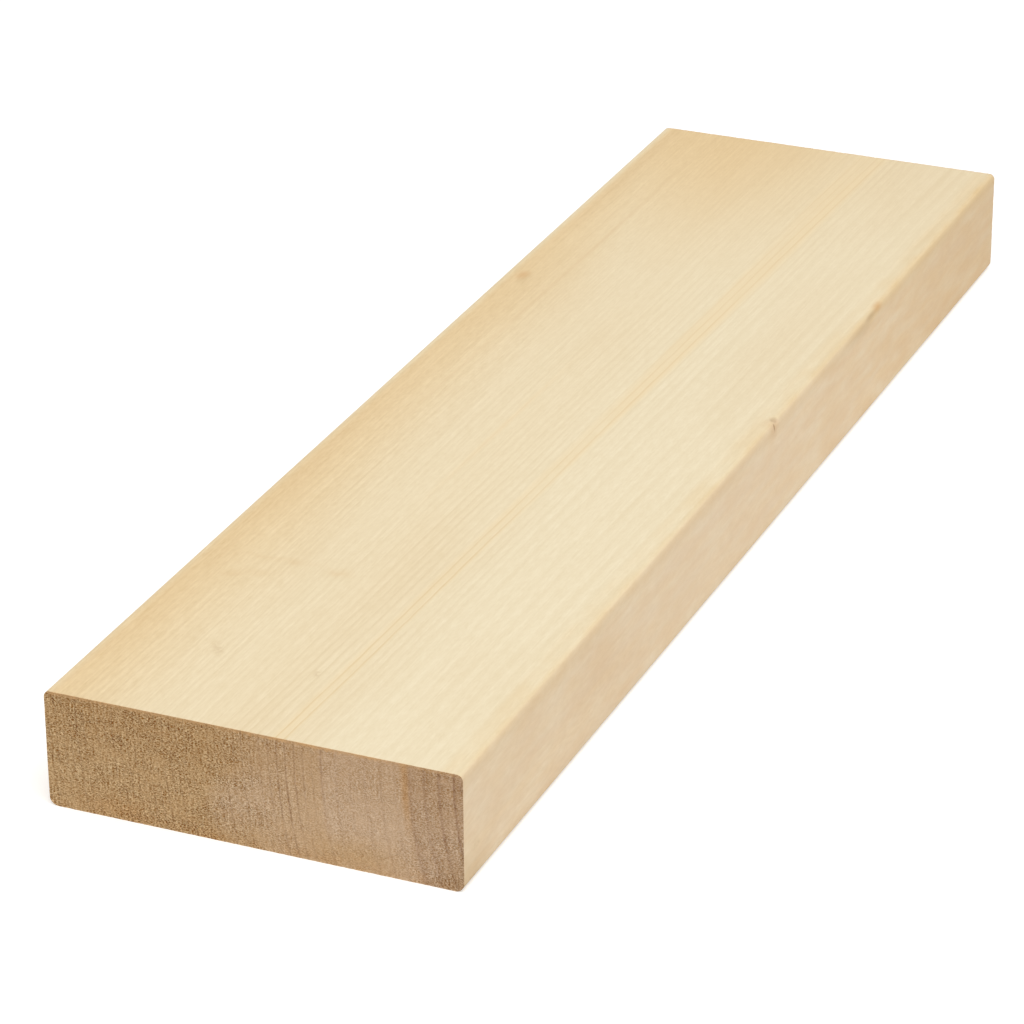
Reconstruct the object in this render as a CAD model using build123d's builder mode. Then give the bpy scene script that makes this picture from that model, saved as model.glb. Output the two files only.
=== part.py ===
from build123d import *
import os

# A planed softwood plank: one short length of solid board, lying flat.
# X runs along its length and grain, Y across its width, Z up through its thickness.
# The origin is the middle of its underside.

# Driving dimensions, in millimetres
plank_length = 525  # from one sawn end to the other
plank_width = 140  # across the planed broad faces
plank_thickness = 40  # between the planed broad faces
upper_arris_radius = 2  # rounding planed along the two upper long edges
lower_arris_radius = 3  # rounding planed along the two lower long edges

# The planed section stands on the ground plane, at the end that faces -X.
end_plane = Plane.YZ.offset(-plank_length / 2)

with BuildPart() as plank:
    with BuildSketch(end_plane) as section:
        Rectangle(plank_width, plank_thickness, align=(Align.CENTER, Align.MIN))
    extrude(amount=plank_length)
    # The planer eases only the edges along the grain: the saw leaves the end edges sharp.
    long_edges = plank.edges().filter_by(Axis.X).group_by(Axis.Z)
    fillet(long_edges[-1], radius=upper_arris_radius)
    fillet(long_edges[0], radius=lower_arris_radius)

plank.part.label = "plank"

os.makedirs("parts", exist_ok=True)
export_step(plank.part, "parts/plank.step")
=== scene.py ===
import math
import bmesh
import bpy
from mathutils import Matrix, Vector, noise


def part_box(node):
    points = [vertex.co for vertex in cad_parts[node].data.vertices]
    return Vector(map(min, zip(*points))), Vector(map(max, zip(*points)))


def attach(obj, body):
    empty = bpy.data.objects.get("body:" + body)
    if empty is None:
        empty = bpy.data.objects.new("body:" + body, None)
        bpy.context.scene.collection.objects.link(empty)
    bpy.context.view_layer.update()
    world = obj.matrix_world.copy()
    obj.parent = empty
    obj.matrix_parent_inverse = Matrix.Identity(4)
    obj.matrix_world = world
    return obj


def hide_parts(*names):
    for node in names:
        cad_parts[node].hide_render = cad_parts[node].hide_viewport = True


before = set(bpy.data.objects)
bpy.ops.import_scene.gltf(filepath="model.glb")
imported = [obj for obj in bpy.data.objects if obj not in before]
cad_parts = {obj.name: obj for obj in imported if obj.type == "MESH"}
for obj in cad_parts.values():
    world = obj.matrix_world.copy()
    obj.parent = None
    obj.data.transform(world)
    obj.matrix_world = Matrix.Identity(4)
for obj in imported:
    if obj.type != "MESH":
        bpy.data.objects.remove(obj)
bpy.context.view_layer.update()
mm = 0.001

plank = {
    "node": "plank",
    "slot": "planed_softwood",
    "upperArris": 2 * mm,  # rounding of the two upper long edges
    "lowerArris": 3 * mm,
    "sharp": math.radians(50),  # an edge that turns further than this is shaded as sharp
    "sawnFacing": 0.9,  # a normal that points along the board by more than this belongs to a sawn end
    "mesh": 0.7 * mm,  # grid of the section and the sawn ends
    "finest": 0.3 * mm,  # spacing of the cross cuts at the ends and at the marks that "fineAt" names
    "coarsest": 6 * mm,  # and far from them
    "growth": 0.25,  # how fast the spacing opens
    "fineAt": ("pinKnot", "amberTail"),
    "pits": {"pinKnot": 1.1 * mm, "pinCrack": 0.77 * mm, "amberTail": 0.66 * mm},  # how deep they are sunk
    "tear": 0.3 * mm,  # depth of the fibre that the saw tears out
    "tearSpread": 0.5,  # 0 tears half of a sawn end, and 0.5 nearly all of it
    "chip": 0.15 * mm,  # splinters lost along the sawn edges
    "chipReach": 0.6 * mm,  # how far they run from the end
    "splinterShare": 0.5,  # strength of the fine splinters beside the coarse ones
    # noises of the wear: the slice that an end reads, the size across, and how much finer it is upwards
    "wearNoises": {"tear": (1, 1.3 * mm, 0.6), "chip": (7, 1.1 * mm, 1), "splinter": (3, 0.7 * mm, 1)},
}

boardLow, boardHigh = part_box("plank")
boardLength, boardWidth, boardThickness = boardHigh - boardLow


def onBoard(fromNearEnd, fromRightEdge, fromUnderside):
    # every place on the board is taken in mm from its near end, its right edge and its underside
    return boardLow + Vector((fromNearEnd, fromRightEdge, fromUnderside)) * mm


def markAt(along, across, up, size, tint=None, amount=1.0, turn=0):
    # size is half the mark's length, width and height in mm, turn is in degrees on the broad faces
    return {
        "at": onBoard(along, across, up),
        "size": Vector(size) * mm,
        "tint": tint,
        "amount": amount,
        "turn": turn,
    }


marks = {
    # grain that curls near the left edge
    "curlBand": markAt(108.5, 111, 40, (4, 24, 3), "toast", turn=2),
    "curlFoot": markAt(107, 90, 40, (6, 7, 3), "toast"),
    "curlSlant": markAt(96, 119, 40, (4, 14, 3), "toast", turn=24),
    # a blush on the right edge, and the amber knot on its arris
    "sideBlush": markAt(110, 0, 22, (36, 4, 20), "amber", 0.14),
    "amberShade": markAt(363, 0, 37.5, (23, 1.6, 4), "tan", 0.25),
    "amberTail": markAt(375.0, 0.3, 38.4, (9, 1.6, 2.2), "tan", 0.55),
    "amberKnot": markAt(382.5, 0.7, 39.3, (6, 2.4, 2.6), "amber", 0.6),
    # a freckle and short dashes on the top, and a bruise on the right edge
    "freckleTail": markAt(356, 130.5, 40, (9, 3.6, 3), "tan", 0.2),
    "freckle": markAt(359.5, 132.6, 40, (6.5, 3.6, 3), "amber", 0.5),
    "dashMiddle": markAt(41.5, 67.2, 40, (4, 1.9, 1), "tan", turn=20),
    "dashLeft": markAt(45, 103, 40, (7, 3, 1), "tan", turn=35),
    "bruise": markAt(9, 0, 12, (4, 1, 1.6), "tan"),
    # painted shade at the lower near right corner, on the sawn end and the narrow face, where the board
    # meets the floor
    "cornerShadow": markAt(0, 0, 3, (30, 12, 12), amount=-0.15),  # no tint: it only darkens
    # the pin knot on the right arris
    "pinHalo": markAt(269.5, 1.0, 38.0, (7, 5, 6), "amber", 0.35),
    "pinKnot": markAt(272.8, 1.5, 39.8, (2.6, 2.0, 1.6), "barkBrown", 0.65),
    "pinCrack": markAt(269.8, 0.1, 38.4, (0.9, 1.2, 2.4), "barkBrown", 0.75),
    # the sawn end in view
    "paleMiddle": markAt(0, 68, 18, (4, 13, 17), "sawnPale", 0.6),
    "paleLeft": markAt(0, 78, 13, (4, 11, 15), "sawnPale", 0.6),
    "tanRight": markAt(0, 36, 4, (4, 26, 11), "sawnTan", 0.75),
    "rustLeft": markAt(0, 116, 4, (4, 17, 6), "sawnRust", 0.4),
    "rustMiddle": markAt(0, 84, 0.5, (4, 12, 4), "sawnRust", 0.25),
    "cornerStain": markAt(0, 0.8, 36, (3, 1.8, 3.5), "sawnLine", 0.25),
}


# modelling


def tucked(offset, radius):
    # a square corner pressed into a round one: offset runs from 0 to radius both ways
    a, b = offset[0] / radius, offset[1] / radius
    return radius * a * math.sqrt(1 - b * b / 2), radius * b * math.sqrt(1 - a * a / 2)


def roundCorners(bm, low, high):
    middle = (low + high) / 2
    for vert in bm.verts:
        off = vert.co - middle
        radius = plank["upperArris"] if off.z > 0 else plank["lowerArris"]
        inner = (high - low) / 2 - Vector((0, radius, radius))
        over = (abs(off.y) - inner.y, abs(off.z) - inner.z)
        if min(over) > 0:
            y, z = tucked(over, radius)
            vert.co.y = middle.y + math.copysign(inner.y + y, off.y)
            vert.co.z = middle.z + math.copysign(inner.z + z, off.z)


def standSection(bm, low, high):
    # the planed section as a grid that stands at the near end
    size, middle = high - low, (low + high) / 2
    bmesh.ops.create_grid(
        bm,
        x_segments=round(size.y / plank["mesh"]),
        y_segments=round(size.z / plank["mesh"]),
        size=0.5,  # makes a square of side 1
    )
    # the grid's x goes across and its y up
    upright = Matrix(((0, 0, 1, 0), (1, 0, 0, 0), (0, 1, 0, 0), (0, 0, 0, 1)))
    scale = Matrix.Diagonal((size.y, size.z, 1, 1))
    place = Matrix.Translation((low.x, middle.y, middle.z))
    bmesh.ops.transform(bm, matrix=place @ upright @ scale, verts=bm.verts)
    roundCorners(bm, low, high)


def crossCuts(low, high, spots):
    # places along the board, close together at the spots
    cuts = [low]
    while cuts[-1] < high:
        gap = min(abs(cuts[-1] - spot) for spot in spots)
        cuts.append(cuts[-1] + min(plank["coarsest"], plank["finest"] + plank["growth"] * gap))
    stretch = (high - low) / (cuts[-1] - low)
    return [low + (cut - low) * stretch for cut in cuts]


def drawOut(bm, low, high):
    # the section drawn out to the far end and cut across
    length = high.x - low.x
    grown = bmesh.ops.extrude_face_region(bm, geom=bm.faces[:])["geom"]
    moved = [item for item in grown if isinstance(item, bmesh.types.BMVert)]
    bmesh.ops.translate(bm, vec=(length, 0, 0), verts=moved)
    spots = [low.x, high.x] + [marks[name]["at"].x for name in plank["fineAt"]]
    cuts = crossCuts(low.x, high.x, spots)
    runs = [edge for edge in bm.edges if abs(edge.verts[0].co.x - edge.verts[1].co.x) > length / 2]
    bmesh.ops.subdivide_edges(bm, edges=runs, cuts=len(cuts) - 2, use_grid_fill=True)
    step = length / (len(cuts) - 1)
    for vert in bm.verts:
        vert.co.x = cuts[round((vert.co.x - low.x) / step)]
    bmesh.ops.recalc_face_normals(bm, faces=bm.faces[:])
    bm.normal_update()


def isSawn(normal):
    return abs(normal.x) > plank["sawnFacing"]


def hill(point, mark):
    # 1 on a mark and 0 at its outline, with a smooth slope
    off = point - mark["at"]
    size = mark["size"]
    far = min(1, Vector((off.x / size.x, off.y / size.y, off.z / size.z)).length)
    return (1 - far * far) ** 2


def wearNoise(name, point, end):
    # end is -1 at the near end and 1 at the far one, so that they wear differently
    cut, size, finer = plank["wearNoises"][name]
    return noise.noise(Vector((end * cut, point.y, finer * point.z)) / size)


def wearOf(point, outward, low, high):
    # how far this point of the surface is sunk below the planed shape
    depth = sum(pit * hill(point, marks[name]) for name, pit in plank["pits"].items())
    fromEnd = min(point.x - low.x, high.x - point.x)
    if fromEnd > plank["coarsest"]:
        return depth
    end = math.copysign(1, point.x)
    if isSawn(outward):
        torn = plank["tearSpread"] + wearNoise("tear", point, end)
        return depth + plank["tear"] * min(1, max(0, torn))
    ragged = wearNoise("chip", point, end) + plank["splinterShare"] * wearNoise("splinter", point, end)
    reach = max(0, 1 - fromEnd / plank["chipReach"])
    return depth + plank["chip"] * reach * max(0, ragged)


def wearDown(bm, low, high):
    # the sawn faces are told from the planed ones before the surface is worn
    for face in bm.faces:
        face.smooth = True
    for edge in bm.edges:
        edge.smooth = edge.calc_face_angle(0) < plank["sharp"]
    sawn = bm.verts.layers.float.new("sawn")
    ends = {vert for face in bm.faces if isSawn(face.normal) for vert in face.verts}
    for vert in ends:
        vert[sawn] = 1
    sunk = [(vert, wearOf(vert.co, vert.normal, low, high)) for vert in bm.verts]
    for vert, depth in sunk:
        vert.co -= vert.normal * depth


def makePlank(low, high):
    bm = bmesh.new()
    standSection(bm, low, high)
    drawOut(bm, low, high)
    wearDown(bm, low, high)
    mesh = bpy.data.meshes.new("plankBody")
    bm.to_mesh(mesh)
    bm.free()
    print("plank mesh:", len(mesh.vertices), "points", len(mesh.polygons), "faces")
    return mesh


# shader sums


def paint(red, green, blue):
    # a colour as it looks on screen, 0 to 255, turned into the shader's linear values
    linear = [((c / 255 + 0.055) / 1.055) ** 2.4 for c in (red, green, blue)]
    return (*linear, 1)


class Wire:
    # a socket of a material that can be used in sums
    def __init__(self, tree, socket):
        self.tree = tree
        self.socket = socket

    def node(self, kind, settings, values, out=0):
        made = self.tree.nodes.new(kind)
        for name, value in settings.items():
            setattr(made, name, value)
        for name, value in values.items():
            if isinstance(value, Wire):
                self.tree.links.new(value.socket, made.inputs[name])
            else:
                made.inputs[name].default_value = value
        return Wire(self.tree, made.outputs[out]) if made.outputs else None

    def maths(self, operation, *values):
        return self.node("ShaderNodeMath", {"operation": operation}, dict(enumerate(values)))

    def vector(self, operation, *values, out=0):
        settings = {"operation": operation}
        return self.node("ShaderNodeVectorMath", settings, dict(enumerate(values)), out)

    def __add__(self, other):
        return self.maths("ADD", self, other)

    def __sub__(self, other):
        return self.maths("SUBTRACT", self, other)

    def __rsub__(self, other):
        return self.maths("SUBTRACT", other, self)

    def __mul__(self, other):
        return self.maths("MULTIPLY", self, other)

    def __truediv__(self, other):
        return self.maths("DIVIDE", self, other)

    def __pow__(self, other):
        return self.maths("POWER", self, other)

    __radd__ = __add__
    __rmul__ = __mul__


def eased(value, start, end, before=0.0, after=1.0):
    # from one amount to another between start and end, without a kink
    settings = {"interpolation_type": "SMOOTHSTEP"}
    names = ("Value", "From Min", "From Max", "To Min", "To Max")
    if start > end:
        start, end, before, after = end, start, after, before
    return value.node("ShaderNodeMapRange", settings, dict(zip(names, (value, start, end, before, after))))


def away(value, middle, reach):
    # how many reaches a value is from the middle, either way
    off = value - middle
    return off.maths("ABSOLUTE", off) / reach


def bell(value, middle, reach, height=1.0, outside=0.0):
    # the height at the middle, and what is outside from the reach on, both ways
    return eased(away(value, middle, reach), 1, 0, outside, height)


def spanned(value, low, high):
    # low where the value is 0 and high where it is 1, straight between them
    return low + (high - low) * value


def swayed(value, pattern, reach):
    # moved to and fro by a noise, whose middle is at a half
    return value + reach * (pattern - 0.5)


def blend(amount, under, over):
    # 0, 6 and 7 are the factor and the two colours of a Mix node, and its third output is the colour
    return amount.node("ShaderNodeMix", {"data_type": "RGBA"}, {0: amount, 6: under, 7: over}, 2)


def shade(colour, amount, paling):
    # a colour made lighter and paler, or darker and deeper where the amount is below 0
    return colour.vector("MULTIPLY", colour, amount.vector("MULTIPLY_ADD", amount, paling, (1, 1, 1)))


def cloud(place, detail):
    return place.node("ShaderNodeTexNoise", {}, {"Vector": place, "Scale": 1.0, "Detail": detail})


def spot(point, name, reach=1.0):
    # the same kind of hill as the mesh has, for a mark's colour
    mark = marks[name]
    off = point.vector("SUBTRACT", point, tuple(mark["at"]))
    if mark["turn"]:
        values = {"Vector": off, "Angle": math.radians(-mark["turn"])}
        off = off.node("ShaderNodeVectorRotate", {"rotation_type": "Z_AXIS"}, values)
    inSizes = off.vector("DIVIDE", off, tuple(mark["size"] * reach))
    return eased(inSizes.vector("LENGTH", inSizes, out="Value"), 1, 0)


# the wood

wood = {
    "cream": paint(242, 226, 191),
    "honey": paint(235, 205, 154),
    "toast": paint(224, 192, 142),
    "resinGlow": paint(243, 217, 170),
    "rosy": paint(232, 204, 170),
    "amber": paint(214, 164, 104),
    "tan": paint(196, 164, 116),
    "barkBrown": paint(128, 78, 34),
    "sawnPale": paint(211, 178, 143),
    "sawnTan": paint(204, 165, 116),
    "sawnRust": paint(206, 156, 98),
    "sawnBurr": paint(228, 180, 124),
    "sawnLine": paint(136, 88, 60),
    "planedPaling": (0.85, 1.15, 1.75),  # how red, green and blue follow when a fibre is lighter
    "resinPaling": (0.6, 1.1, 2.2),
    "sawnPaling": (0.85, 1.2, 1.7),
    "shadowPaling": (1.0, 1.0, 1.0),
    "sideTint": (1.03, 1.0, 1.03),  # the narrow faces are a little rosier than the broad ones
    "roughness": 0.55,
    "sawnRoughness": 0.75,
    "specular": 0.35,
    # relief too fine for the mesh, in mm
    "fibreHeight": 0.02,
    "lateHeight": 0.015,
    "tornHeight": 0.3,
    "lineDepth": 0.1,
}

# the tree that the board was sawn from, in mm from the right edge and the underside
rings = {
    "heartAcross": -140.0,
    "heartUp": 38.0,
    "drift": 21.4,  # how far the heart moves across from the far end to the near one
    "taper": 0.049,  # how much the rings draw together on the way
    "perMm": 0.195,  # at the right edge
    "closer": {34: 0.135, 78: 0.06},  # from so many mm on there are so many more in a mm
    "phase": 0.3,
    "uneven": 0.25,  # how far their count strays, in rings
    "unevenSize": 9,  # and over how many mm
    "faintest": 0.6,  # strength of the faintest ring beside the boldest
    "wandering": {"sway": 2.0, "wander": 0.55, "tremble": 0.35},
    "knotPush": {"pinKnot": (1.2, 4), "amberKnot": (1.6, 2)},  # how far a knot bends them, and its reach
}

# noises in the wood: their sizes along, across and up in mm, then how many finer layers they have
patterns = {
    "sway": (170, 70, 140, 1),
    "wander": (38, 14, 40, 2),
    "tremble": (9, 4, 7, 1),
    "wobble": (7, 7, 7, 1),
    "patches": (90, 16, 16, 2),
    "zones": (150, 45, 45, 2),
    "bands": (60, 2.2, 2.2, 2),
    "hairs": (70, 0.9, 0.9, 1),
    "fuzz": (5, 1.5, 1.5, 1),
    "fibre": (14, 0.5, 0.5, 2),
    "blush": (40, 10, 8, 2),
    "curls": (1.6, 1.6, 1.6, 1),
    "tearing": (2, 1.1, 0.78, 1),
    "pores": (2, 0.66, 0.42, 1),
    "scores": (2, 0.9, 8, 1),
    "smears": (20, 9, 5, 1),
}

# amounts that colours are mixed by: each row has one of the functions above and what it is given, where
# a word is another amount, a noise, or one of the measures that Grain knows
amounts = {
    # the dark part of each ring starts slowly and ends at once, and is softer in the broad rings
    "ringPatches": (eased, "patches", 0.25, 0.7, 0.5, 1.0),
    "broadRings": (eased, "ring", 42, 26),
    "narrowStart": (eased, "part", 0.42, 0.84),
    "narrowEnd": (eased, "part", 1.0, 0.9),
    "softStart": (eased, "part", 0.2, 0.8, 0.0, 0.7),
    "softEnd": (eased, "part", 1.0, 0.84),
    "lineStart": (eased, "part", 0.68, 0.86),
    "lineEnd": (eased, "part", 0.98, 0.88),

    # broad faces: honey
    "honeyMiddle": (eased, "across", 40, 85, 0.0, 0.2),
    "honeySway": (swayed, "across", "zones", 16),
    "honeyLeft": (eased, "honeySway", 92, 146, 0.0, 0.75),
    "honeyDrift": (swayed, "along", "zones", 60),
    "honeyFar": (eased, "honeyDrift", 300, 540),
    "honeySpread": (eased, "across", 20, 110, 0.15, 1.0),
    "honeyRim": (eased, "across", 9, 5),
    "honeyRimPatches": (eased, "smears", 0.3, 0.7, 0.08, 0.32),
    "honeyArris": (eased, "across", 4, 0),
    "honeyArrisAlong": (eased, "along", 200, 450, 1.1, 2.6),

    # broad faces: the toasted left edge with its pale rim, and toasted clouds
    "toastSway": (swayed, "across", "blush", 6),
    "toastLeft": (eased, "toastSway", 122, 139),
    "toastStripes": (eased, "hairs", 0.4, 0.7, 0.3, 1.7),
    "toastPatches": (eased, "blush", 0.3, 0.7, 0.3, 0.55),
    "toastAlong": (bell, "along", 131.25, 315),
    "toastRim": (bell, "across", 134, 7),
    "toastRimAlong": (eased, "along", 370, 450, 0.0, 0.3),
    "creamRim": (eased, "across", 135.5, 139),
    "creamRimAlong": (eased, "along", 120, 360, 0.38, 0.75),
    "toastClouds": (eased, "zones", 0.45, 0.75, 0.0, 0.15),

    # broad faces: fine lights, and the lines of the rings, broken up by the fibre
    "fibreLights": (spanned, "fibre", -0.06, 0.06),
    "bandLights": (spanned, "bands", -0.025, 0.025),
    "hairLights": (spanned, "hairs", -1, 1),
    "hairLightsAcross": (eased, "across", 60, 130, 0.025, 0.075),
    "calmAlong": (eased, "along", 260, 380, 0.0, 0.4),
    "calmAcross": (eased, "across", 88, 104),
    "linesAlong": (eased, "along", 60, 460, 0.09, 0.055),
    "linesRight": (eased, "across", 60, 20, 0.0, 0.015),
    "linesLeft": (eased, "across", 64, 80, 1.0, 0.7),
    "quietAcross": (bell, "across", 31, 13),
    "quietAlong": (eased, "along", 100, 200, 0.55, 0.35),
    "boldAlong": (eased, "along", 400, 460, 0.0, 0.5),
    "boldAcross": (eased, "across", 30, 18),
    "lineFibre": (spanned, "fibre", -0.5, 2.1),
    "lineFuzz": (spanned, "fuzz", 0.3, 1.6),
    "linesOverEdge": (eased, "overEdge", -1, 1, 0.5, 1.0),
    "fuzzSpeckle": (spanned, "fuzz", -0.05, 0.05),
    "poreSpeckle": (spanned, "pores", -0.04, 0.04),
    "speckleAcross": (eased, "across", 90, 125, 1.0, 1.5),
    "speckleAlong": (eased, "along", 230, 400, 1.0, 0.75),

    # broad faces: a streak of resin that widens towards the far end, and two lone lines
    "resinMiddle": (eased, "along", 360, 500, 47.8, 50.4),
    "resinReach": (eased, "along", 40, 525, 3.0, 6.8),
    "resinAway": (away, "ring", "resinMiddle", "resinReach"),
    "resin": (eased, "resinAway", 1.1, 0.5),
    "resinAlong": (eased, "along", 40, 240, 0.36, 0.5),
    "resinFibre": (spanned, "fibre", 0.3, 1.3),
    "resinLines": (eased, "along", 110, 260, -0.18, -0.1),
    "broken": (eased, "patches", 0.35, 0.6, 0.5, 1.0),
    "leftLine": (bell, "ring", 115.8, 1.5, 0.4),
    "leftLineAlong": (eased, "along", 199.5, 262.5),
    "middleGlow": (bell, "ring", 79.8, 2.0, 0.3),
    "middleLine": (bell, "ring", 79.8, 0.5, 0.4),
    "middleLineAlong": (bell, "along", 231, 84),

    # narrow faces: rosier and paler as far as the knots, with faint clouds
    "narrowFace": (eased, "overEdge", 1.2, -0.8),
    "rosyClouds": (eased, "blush", 0.35, 0.65, 0.0, 0.25),
    "rosyAlong": (eased, "along", 400, 250, 0.0, 0.12),
    "sidePaleNear": (eased, "along", 500, 340, 0.0, 0.035),
    "sidePaleMiddle": (bell, "along", 300, 240, 0.045),
    "sideHoney": (eased, "up", 34, 39),
    "sideHoneyAlong": (eased, "along", 280, 440, 0.1, 0.6),
    "sideUpper": (eased, "up", 15, 25),
    "sideToast": (bell, "overEdge", -2, 6),
    "sideToastAlong": (eased, "along", 420, 330, 0.08, 0.25),
    # painted shadow along the foot of the narrow faces near the floor, fading towards the far end
    "sideFootShadow": (eased, "up", 6, 2, 0.0, -0.03),
    "sideFootShadowAlong": (eased, "along", 420, 300),
    "sideFuzz": (spanned, "fuzz", -1, 1),
    "sideFuzzAlong": (eased, "along", 180, 100, 0.015, 0.04),
    "arrisShadow": (bell, "overEdge", -0.7, 1.5, -0.055),

    # sawn ends: pale, rusty where the saw came out, and the rings plain to see
    "sawnPaleLeft": (eased, "ring", 76, 44, 0.0, 0.6),
    "sawnPaleRight": (eased, "ring", 35.5, 32.5, 0.0, 0.4),
    "orangeRing": (bell, "ring", 4.4, 2.2, 0.6),
    "orangeRingUp": (eased, "up", 14, 30, 0.1, 1.0),
    "rustFoot": (eased, "up", 5, 1, 0.0, 0.25),
    "rustFootPatches": (eased, "smears", 0.4, 0.6),
    "rightRings": (eased, "ring", 6, 2),
    "rightLate": (spanned, "late", 0.1, 0.3),
    "rightLines": (eased, "ring", 1, -11, 0.1, 1.1),
    "rightLinesUp": (eased, "up", 2, 26, 0.2, 0.9),
    "sawnLinesLeft": (eased, "across", 50, 100, 0.15, 0.3),
    "sawnLinesMiddle": (bell, "ring", 47, 12, 0.32),
    "sawnPatches": (eased, "smears", 0.3, 0.6, 1.08, 2.16),
    "darkLine": (bell, "ring", 33.4, 0.5, 0.3),
    "darkLineUp": (eased, "up", 20, 27),
    "upperShadow": (eased, "up", 36, 14, -0.08, 0.04),
    "rightShadow": (eased, "across", 25, 12, 0.0, -0.06),
    "burrSway": (swayed, "up", "tearing", 1.8),
    "burr": (eased, "burrSway", 38.5, 39.5),
    "burrAcross": (eased, "across", 8, 32, 0.5, 1.0),
    "burrPatches": (eased, "smears", 0.35, 0.6, 0.35, 0.9),

    # sawn ends: torn fibre, strong on the left and at the lower right corner
    "tornCurls": (bell, "tearing", 0.5, 0.13, 0.228, -0.172),
    "tornPores": (eased, "pores", 0.35, 0.65, -0.26, 0.26),
    "tornScores": (spanned, "scores", -0.23, 0.23),
    "tornLeft": (eased, "across", 45, 92, 0.492, 1.2),
    "tornRight": (eased, "across", 24, 12, 0.0, 0.144),
    "tornCorner": (eased, "across", 22, 8),
    "tornCornerUp": (eased, "up", 26, 12, 0.0, 0.96),
    "tornPatches": (eased, "smears", 0.3, 0.7, 0.7, 1.25),

    # marks: how far the curls are bent, in mm, and how strongly they and the dashes are laid
    "curlBend": (spanned, "wobble", -4.5, 4.5),
    "curlPatches": (eased, "wobble", 0.3, 0.7, 0.1, 0.4),
    "dashPatches": (eased, "curls", 0.4, 0.6, 0.09, 0.33),
}


class Grain:
    # what is known of the wood at a point of the board, under names
    def __init__(self, point):
        self.point = point
        # mm from the near end, the right edge and the underside
        fromCorner = point.vector("SUBTRACT", point, tuple(boardLow))
        inMm = point.vector("DIVIDE", fromCorner, (mm, mm, mm))
        along, across, up = [inMm.node("ShaderNodeSeparateXYZ", {}, {0: inMm}, axis) for axis in "XYZ"]
        self.known = {"along": along, "across": across, "up": up}
        # mm from the nearest long edge, above 0 on the broad faces and below 0 on the narrow ones
        inward = across.maths("MINIMUM", across, boardWidth / mm - across)
        self.known["overEdge"] = inward - up.maths("MINIMUM", up, boardThickness / mm - up)
        # where the point's growth ring meets the top, in mm from the right edge
        self.known["ring"] = self.ringPlace()
        # how far through that year the point is, from 0 to 1, and how strong the year's ring is
        self.known["part"], self.known["weight"] = self.ringPart()
        # the year's dark wood, and the thin line that it ends with
        self.known["late"] = self.lateWood()
        self.known["thin"] = self.amount("lineStart", "lineEnd", "weight")

    def read(self, name):
        # a name's nodes are made when it is first read
        if name not in self.known:
            self.known[name] = self.pattern(name) if name in patterns else self.worked(name)
        return self.known[name]

    def pattern(self, name):
        *sizes, detail = patterns[name]
        scaled = [self.read(measure) / size for measure, size in zip(("along", "across", "up"), sizes)]
        return cloud(self.point.node("ShaderNodeCombineXYZ", {}, dict(enumerate(scaled))), detail)

    def worked(self, name):
        shape, *given = amounts[name]
        return shape(*[self.read(item) if isinstance(item, str) else item for item in given])

    def amount(self, *names):
        # several amounts multiplied
        product, *others = [self.read(name) for name in names]
        for other in others:
            product = product * other
        return product

    def lay(self, colour, tint, *names):
        # one of the wood's colours laid over another, by so many amounts multiplied
        return blend(self.amount(*names), colour, wood[tint])

    def ringPlace(self):
        # circles round the heart, numbered by where they meet the top
        nearness = 1 - self.read("along") / (boardLength / mm)
        across = self.read("across") - rings["heartAcross"] - rings["drift"] * nearness
        up = self.read("up") - rings["heartUp"]
        radius = (across * across + up * up) ** 0.5
        ring = radius * (1 + rings["taper"] * nearness) + rings["heartAcross"]
        for name, reach in rings["wandering"].items():
            ring = swayed(ring, self.read(name), reach)
        for name, (push, reach) in rings["knotPush"].items():
            ring = ring + push * spot(self.point, name, reach)
        return ring

    def ringPart(self):
        ring = self.read("ring")
        place = ring.node("ShaderNodeCombineXYZ", {}, {0: ring / rings["unevenSize"]})
        count = swayed(rings["perMm"] * ring + rings["phase"], cloud(place, 1), rings["uneven"])
        for start, more in rings["closer"].items():
            count = count + more * count.maths("MAXIMUM", ring - start, 0)
        year = count.maths("FLOOR", count)
        lot = year.node("ShaderNodeTexWhiteNoise", {"noise_dimensions": "1D"}, {"W": year})
        weight = spanned(lot, rings["faintest"], 1.0) * self.read("ringPatches")
        return count.maths("FRACT", count), weight

    def lateWood(self):
        narrow = self.amount("narrowStart", "narrowEnd")
        soft = self.amount("softStart", "softEnd")
        return (narrow + (soft - narrow) * self.read("broadRings")) * self.read("weight")


def broadColour(grain):
    honey = grain.read("honeyMiddle") + grain.read("honeyLeft")
    honey = honey.maths("MAXIMUM", honey, grain.amount("honeyFar", "honeySpread"))
    face = blend(honey, wood["cream"], wood["honey"])
    face = grain.lay(face, "toast", "toastLeft", "toastStripes", "toastAlong", "toastPatches")
    face = grain.lay(face, "toast", "toastRim", "toastRimAlong")
    face = grain.lay(face, "cream", "creamRim", "creamRimAlong")
    face = grain.lay(face, "honey", "honeyRim", "honeyRimPatches")
    face = grain.lay(face, "honey", "honeyArris", "honeyArrisAlong", "blush", "smears")
    face = grain.lay(face, "toast", "toastClouds")

    # the lines are calmer at the far left, quiet in a band near the right edge and bold at the far right
    calmness = 1 - grain.amount("calmAlong", "calmAcross")
    lights = grain.read("fibreLights") + grain.read("bandLights")
    lights = lights + grain.amount("hairLights", "hairLightsAcross") * calmness
    strength = grain.read("linesAlong") + grain.read("linesRight")
    strength = strength * calmness * grain.amount("linesLeft", "lineFibre", "lineFuzz")
    strength = strength * (1 - grain.amount("quietAcross", "quietAlong"))
    strength = strength * (1 + grain.amount("boldAlong", "boldAcross"))
    lines = (lights - grain.read("late") * strength) * grain.read("linesOverEdge")
    face = shade(face, lines, wood["planedPaling"])
    speckle = grain.read("fuzzSpeckle") + grain.read("poreSpeckle")
    return shade(face, speckle * grain.amount("speckleAcross", "speckleAlong"), wood["planedPaling"])


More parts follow.
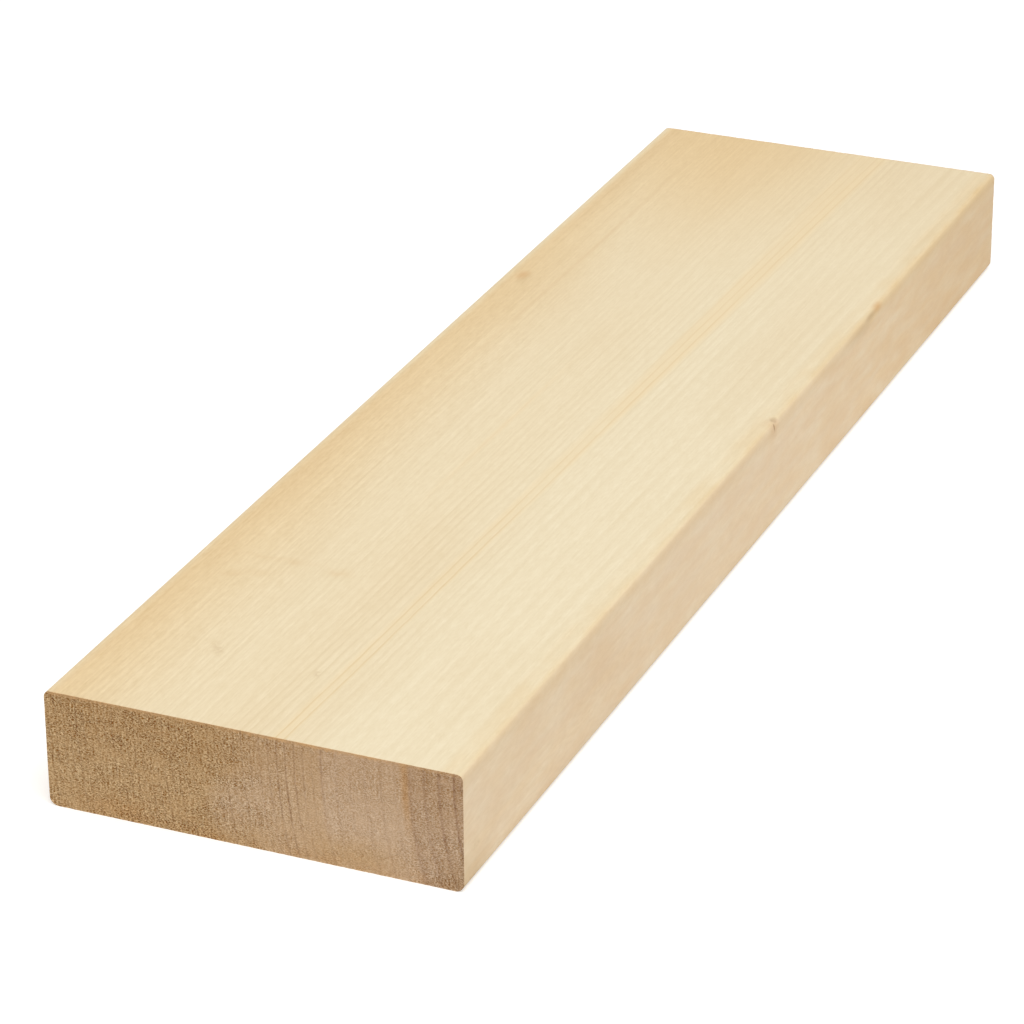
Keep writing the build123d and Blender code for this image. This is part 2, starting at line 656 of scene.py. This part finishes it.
def resinColour(grain, face):
    face = grain.lay(face, "resinGlow", "resin", "broken", "resinAlong")
    face = shade(face, grain.amount("resin", "thin", "resinFibre", "resinLines"), wood["resinPaling"])
    face = grain.lay(face, "toast", "leftLine", "leftLineAlong", "broken")
    face = grain.lay(face, "resinGlow", "middleGlow", "middleLineAlong")
    return grain.lay(face, "toast", "middleLine", "middleLineAlong", "fibre")


def narrowColour(grain, face):
    side = face.vector("MULTIPLY", face, wood["sideTint"])
    side = blend(grain.read("rosyClouds") + grain.read("rosyAlong"), side, wood["rosy"])
    side = shade(side, grain.read("sidePaleNear") + grain.read("sidePaleMiddle"), wood["planedPaling"])
    side = grain.lay(side, "honey", "sideHoney", "sideHoneyAlong")
    side = grain.lay(side, "toast", "sideToast", "sideToastAlong", "sideUpper")
    # painted shadow at the foot of the narrow faces
    side = shade(side, grain.amount("sideFootShadow", "sideFootShadowAlong"), wood["shadowPaling"])
    return shade(side, grain.amount("sideFuzz", "sideFuzzAlong"), wood["planedPaling"])


def planedColour(grain):
    broad = resinColour(grain, broadColour(grain))
    planed = blend(grain.read("narrowFace"), broad, narrowColour(grain, broad))
    return shade(planed, grain.amount("arrisShadow", "sideUpper"), wood["shadowPaling"])


def tornFibre(grain):
    rough = grain.read("tornLeft") + grain.read("tornRight")
    rough = rough.maths("MAXIMUM", rough, grain.amount("tornCorner", "tornCornerUp"))
    torn = grain.read("tornCurls") + grain.read("tornPores") + grain.read("tornScores")
    return torn * rough * grain.read("tornPatches")


def withMarks(colour, point, names, strength=1):
    # marks laid over a colour, one after the other
    for name in names:
        amount = marks[name]["amount"] * strength
        colour = blend(spot(point, name) * amount, colour, wood[marks[name]["tint"]])
    return colour


def sawnColour(grain, torn):
    pale = grain.read("sawnPaleLeft") + grain.read("sawnPaleRight")
    end = blend(pale, wood["sawnTan"], wood["sawnPale"])
    end = grain.lay(end, "sawnRust", "orangeRing", "orangeRingUp")
    end = withMarks(end, grain.point, ("paleMiddle", "paleLeft", "tanRight"))
    rust = grain.amount("rustFoot", "rustFootPatches")
    for name in ("rustLeft", "rustMiddle"):
        rust = rust + spot(grain.point, name) * marks[name]["amount"]
    end = blend(rust, end, wood["sawnRust"])
    end = grain.lay(end, "sawnLine", "rightRings", "rightLate")
    lines = grain.read("sawnLinesLeft") + grain.read("sawnLinesMiddle")
    lines = lines + grain.amount("rightRings", "rightLines", "rightLinesUp")
    end = blend(lines * grain.amount("thin", "pores", "sawnPatches"), end, wood["sawnLine"])
    end = grain.lay(end, "sawnLine", "darkLine", "darkLineUp", "pores", "sawnPatches")
    end = withMarks(end, grain.point, ("cornerStain",))
    end = shade(end, torn + grain.read("upperShadow") + grain.read("rightShadow"), wood["sawnPaling"])
    return grain.lay(end, "sawnBurr", "burr", "burrAcross", "burrPatches")


def markedColour(grain, colour):
    # knots and small marks
    point = grain.point
    sideways = point.node("ShaderNodeCombineXYZ", {}, {0: grain.read("curlBend") * mm})
    bent = point.vector("ADD", point, sideways)
    colour = withMarks(colour, bent, ("curlBand", "curlFoot", "curlSlant"), grain.read("curlPatches"))
    colour = withMarks(colour, point, ("sideBlush", "amberShade", "amberTail", "amberKnot"))
    colour = withMarks(colour, point, ("freckleTail", "freckle"))
    colour = withMarks(colour, point, ("dashMiddle", "dashLeft", "bruise"), grain.read("dashPatches"))
    # painted shade darkens the lower near corner
    shadow = spot(point, "cornerShadow") * marks["cornerShadow"]["amount"]
    colour = shade(colour, shadow, wood["planedPaling"])
    return withMarks(colour, point, ("pinHalo", "pinKnot", "pinCrack"))


def makeWood():
    material = bpy.data.materials.new("planedSoftwood")
    material.use_nodes = True
    tree = material.node_tree
    tree.nodes.clear()
    pen = Wire(tree, None)
    sawn = pen.node("ShaderNodeAttribute", {"attribute_name": "sawn"}, {}, "Fac")
    grain = Grain(pen.node("ShaderNodeTexCoord", {}, {}, "Object"))
    torn = tornFibre(grain)
    colour = blend(sawn, planedColour(grain), sawnColour(grain, torn))
    planedRelief = grain.read("fibre") * wood["fibreHeight"] + grain.read("late") * wood["lateHeight"]
    sawnRelief = torn * wood["tornHeight"] - grain.read("thin") * wood["lineDepth"]
    relief = planedRelief + sawn * (sawnRelief - planedRelief)
    surface = {
        "Base Color": markedColour(grain, colour),
        "Roughness": spanned(sawn, wood["roughness"], wood["sawnRoughness"]),
        "Normal": pen.node("ShaderNodeBump", {}, {"Distance": mm, "Height": relief}),
        "Specular IOR Level": wood["specular"],
    }
    shader = pen.node("ShaderNodeBsdfPrincipled", {}, surface)
    pen.node("ShaderNodeOutputMaterial", {}, {"Surface": shader})
    return material


# the piece

body = bpy.data.objects.new("plankBody", makePlank(boardLow, boardHigh))
bpy.context.scene.collection.objects.link(body)
body.data.materials.append(makeWood())
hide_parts(plank["node"])
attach(body, "root")
print("plank dressed")


# studio

studio = {
    "floorSize": 12.0,
    "floorColour": paint(231, 230, 228),
    "floorGlow": 0.42,  # what lifts the floor to white before the camera, shadows kept
    "skyColour": paint(255, 255, 255),
    "skyLight": 0.6,  # of the sky that lights the board, beside the white one that is seen
    "keyPower": 39.0,
    "keySize": 2.0,
    "keyFrom": Vector((-0.95, -0.9, 2.7)),
    "keyAim": Vector((0, 0, 0)),
}


def makeFloor():
    bm = bmesh.new()
    bmesh.ops.create_grid(bm, x_segments=1, y_segments=1, size=studio["floorSize"] / 2)
    mesh = bpy.data.meshes.new("floor")
    bm.to_mesh(mesh)
    bm.free()
    floor = bpy.data.objects.new("floor", mesh)
    bpy.context.scene.collection.objects.link(floor)
    material = bpy.data.materials.new("paleFloor")
    material.use_nodes = True
    material.node_tree.nodes.clear()
    pen = Wire(material.node_tree, None)
    plain = pen.node("ShaderNodeBsdfDiffuse", {}, {"Color": studio["floorColour"]})
    glow = pen.node("ShaderNodeEmission", {}, {"Strength": studio["floorGlow"]})
    lifted = pen.node("ShaderNodeAddShader", {}, {0: plain, 1: glow})
    seen = pen.node("ShaderNodeLightPath", {}, {}, "Is Camera Ray")
    shader = pen.node("ShaderNodeMixShader", {}, {0: seen, 1: plain, 2: lifted})
    pen.node("ShaderNodeOutputMaterial", {}, {"Surface": shader})
    mesh.materials.append(material)


def makeSky():
    world = bpy.data.worlds.new("studioSky")
    bpy.context.scene.world = world
    world.use_nodes = True
    world.node_tree.nodes.clear()
    pen = Wire(world.node_tree, None)
    names = ("Is Camera Ray", "Is Glossy Ray", "Is Transmission Ray")
    eye, gloss, through = [pen.node("ShaderNodeLightPath", {}, {}, name) for name in names]
    seen = eye.maths("MAXIMUM", eye.maths("MAXIMUM", eye, gloss), through)
    values = {"Color": studio["skyColour"], "Strength": spanned(seen, studio["skyLight"], 1)}
    light = pen.node("ShaderNodeBackground", {}, values)
    pen.node("ShaderNodeOutputWorld", {}, {"Surface": light})


def addLamp(name, place, target, size, power):
    lamp = bpy.data.lights.new(name, "AREA")
    lamp.shape = "DISK"
    lamp.size = size
    lamp.energy = power
    holder = bpy.data.objects.new(name, lamp)
    bpy.context.scene.collection.objects.link(holder)
    aim = (target - place).to_track_quat("-Z", "Y")
    holder.matrix_world = Matrix.Translation(place) @ aim.to_matrix().to_4x4()


makeFloor()
makeSky()
addLamp("keyLamp", studio["keyFrom"], studio["keyAim"], studio["keySize"], studio["keyPower"])
print("studio lit")


# camera

camera = {
    "aim": onBoard(169.9, 56.5, 40),  # the middle of the picture falls here
    "distance": 1.4214,
    "compass": 66.81,  # degrees from the board's width towards its length
    "tilt": 25.79,  # down from level
    "roll": -0.36,
    "lens": 150.65,
    "sensor": 36,  # the width in mm that the lens is meant for
}


def addCamera():
    lens = bpy.data.cameras.new("photoCamera")
    lens.lens = camera["lens"]
    lens.sensor_width = camera["sensor"]
    holder = bpy.data.objects.new("photoCamera", lens)
    bpy.context.scene.collection.objects.link(holder)
    turn = Matrix.Rotation(math.radians(-camera["compass"]), 4, "Z")
    turn = turn @ Matrix.Rotation(math.radians(90 - camera["tilt"]), 4, "X")
    turn = turn @ Matrix.Rotation(math.radians(camera["roll"]), 4, "Z")
    back = turn @ Vector((0, 0, camera["distance"]))
    holder.matrix_world = Matrix.Translation(camera["aim"] + back) @ turn
    bpy.context.scene.camera = holder


addCamera()
bpy.context.scene.view_settings.view_transform = "Standard"
print("camera set")
